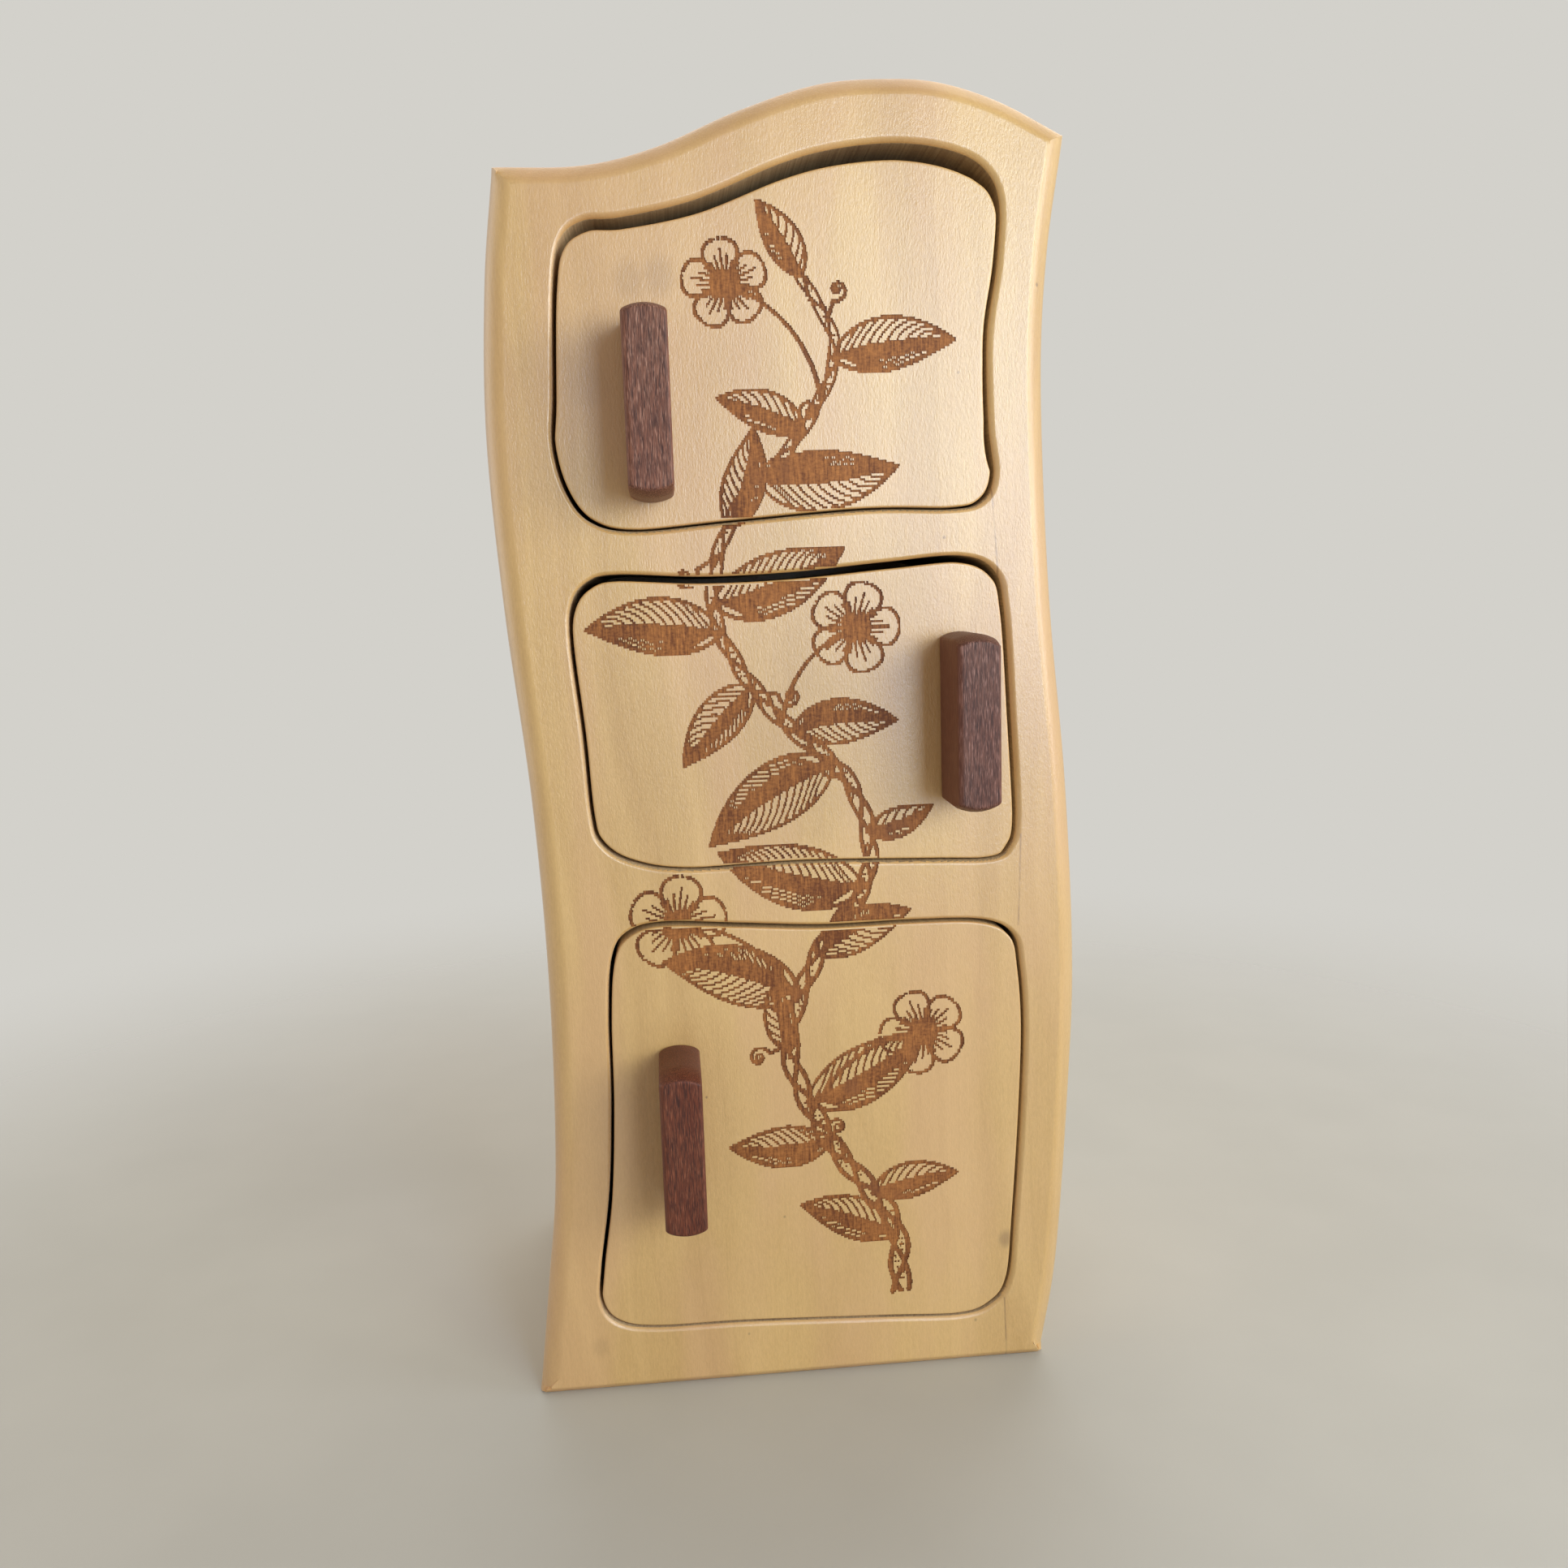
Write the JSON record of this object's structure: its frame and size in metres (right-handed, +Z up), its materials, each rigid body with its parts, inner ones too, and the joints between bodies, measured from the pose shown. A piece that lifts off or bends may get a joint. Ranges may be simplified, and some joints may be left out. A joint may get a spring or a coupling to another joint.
{
  "type": "jewelry box",
  "caption": "Tall wavy wooden jewelry box cut from one block, with drawers one above another, each on its own slide, upright bar pulls and an engraved front.",
  "frame": {"origin": "middle of the base, between its two lower corners and half way from the front face to the rear face", "axes": "+Z up, the drawers' front faces -Y, +X to the right seen from the front"},
  "size_m": [0.1355, 0.1205, 0.3055],
  "materials": {
    "case_wood": "pale close-grained wood, sanded smooth, satin clear coat",
    "drawer_wood": "the same pale wood, satin clear coat, engraved on the fronts",
    "pull_wood": "purple-brown open-grained hardwood, oiled, matt to satin",
    "dowel_wood": "raw turned dowel",
    "liner_felt": "soft wool felt"
  },
  "bodies": {
    "case": {"case_front_board": "case_wood", "case_second_board": "case_wood", "case_third_board": "case_wood", "case_rear_board": "case_wood", "case_back_panel": "case_wood"},
    "upper_drawer": {"upper_drawer_front": "drawer_wood", "upper_drawer_core": "drawer_wood", "upper_drawer_back": "drawer_wood", "upper_drawer_liner": "liner_felt", "upper_pull": "pull_wood", "upper_pull_upper_dowel": "dowel_wood", "upper_pull_lower_dowel": "dowel_wood"},
    "middle_drawer": {"middle_drawer_front": "drawer_wood", "middle_drawer_core": "drawer_wood", "middle_drawer_back": "drawer_wood", "middle_drawer_liner": "liner_felt", "middle_pull": "pull_wood", "middle_pull_upper_dowel": "dowel_wood", "middle_pull_lower_dowel": "dowel_wood"},
    "lower_drawer": {"lower_drawer_front": "drawer_wood", "lower_drawer_core": "drawer_wood", "lower_drawer_back": "drawer_wood", "lower_drawer_liner": "liner_felt", "lower_pull": "pull_wood", "lower_pull_upper_dowel": "dowel_wood", "lower_pull_lower_dowel": "dowel_wood"}
  },
  "joints": [
    {"name": "upper_drawer_slide", "type": "slide", "parent": "case", "child": "upper_drawer", "axis": [0, -1, 0], "range_m": [0, 0.075]},
    {"name": "middle_drawer_slide", "type": "slide", "parent": "case", "child": "middle_drawer", "axis": [0, -1, 0], "range_m": [0, 0.075]},
    {"name": "lower_drawer_slide", "type": "slide", "parent": "case", "child": "lower_drawer", "axis": [0, -1, 0], "range_m": [0, 0.075]}
  ]
}
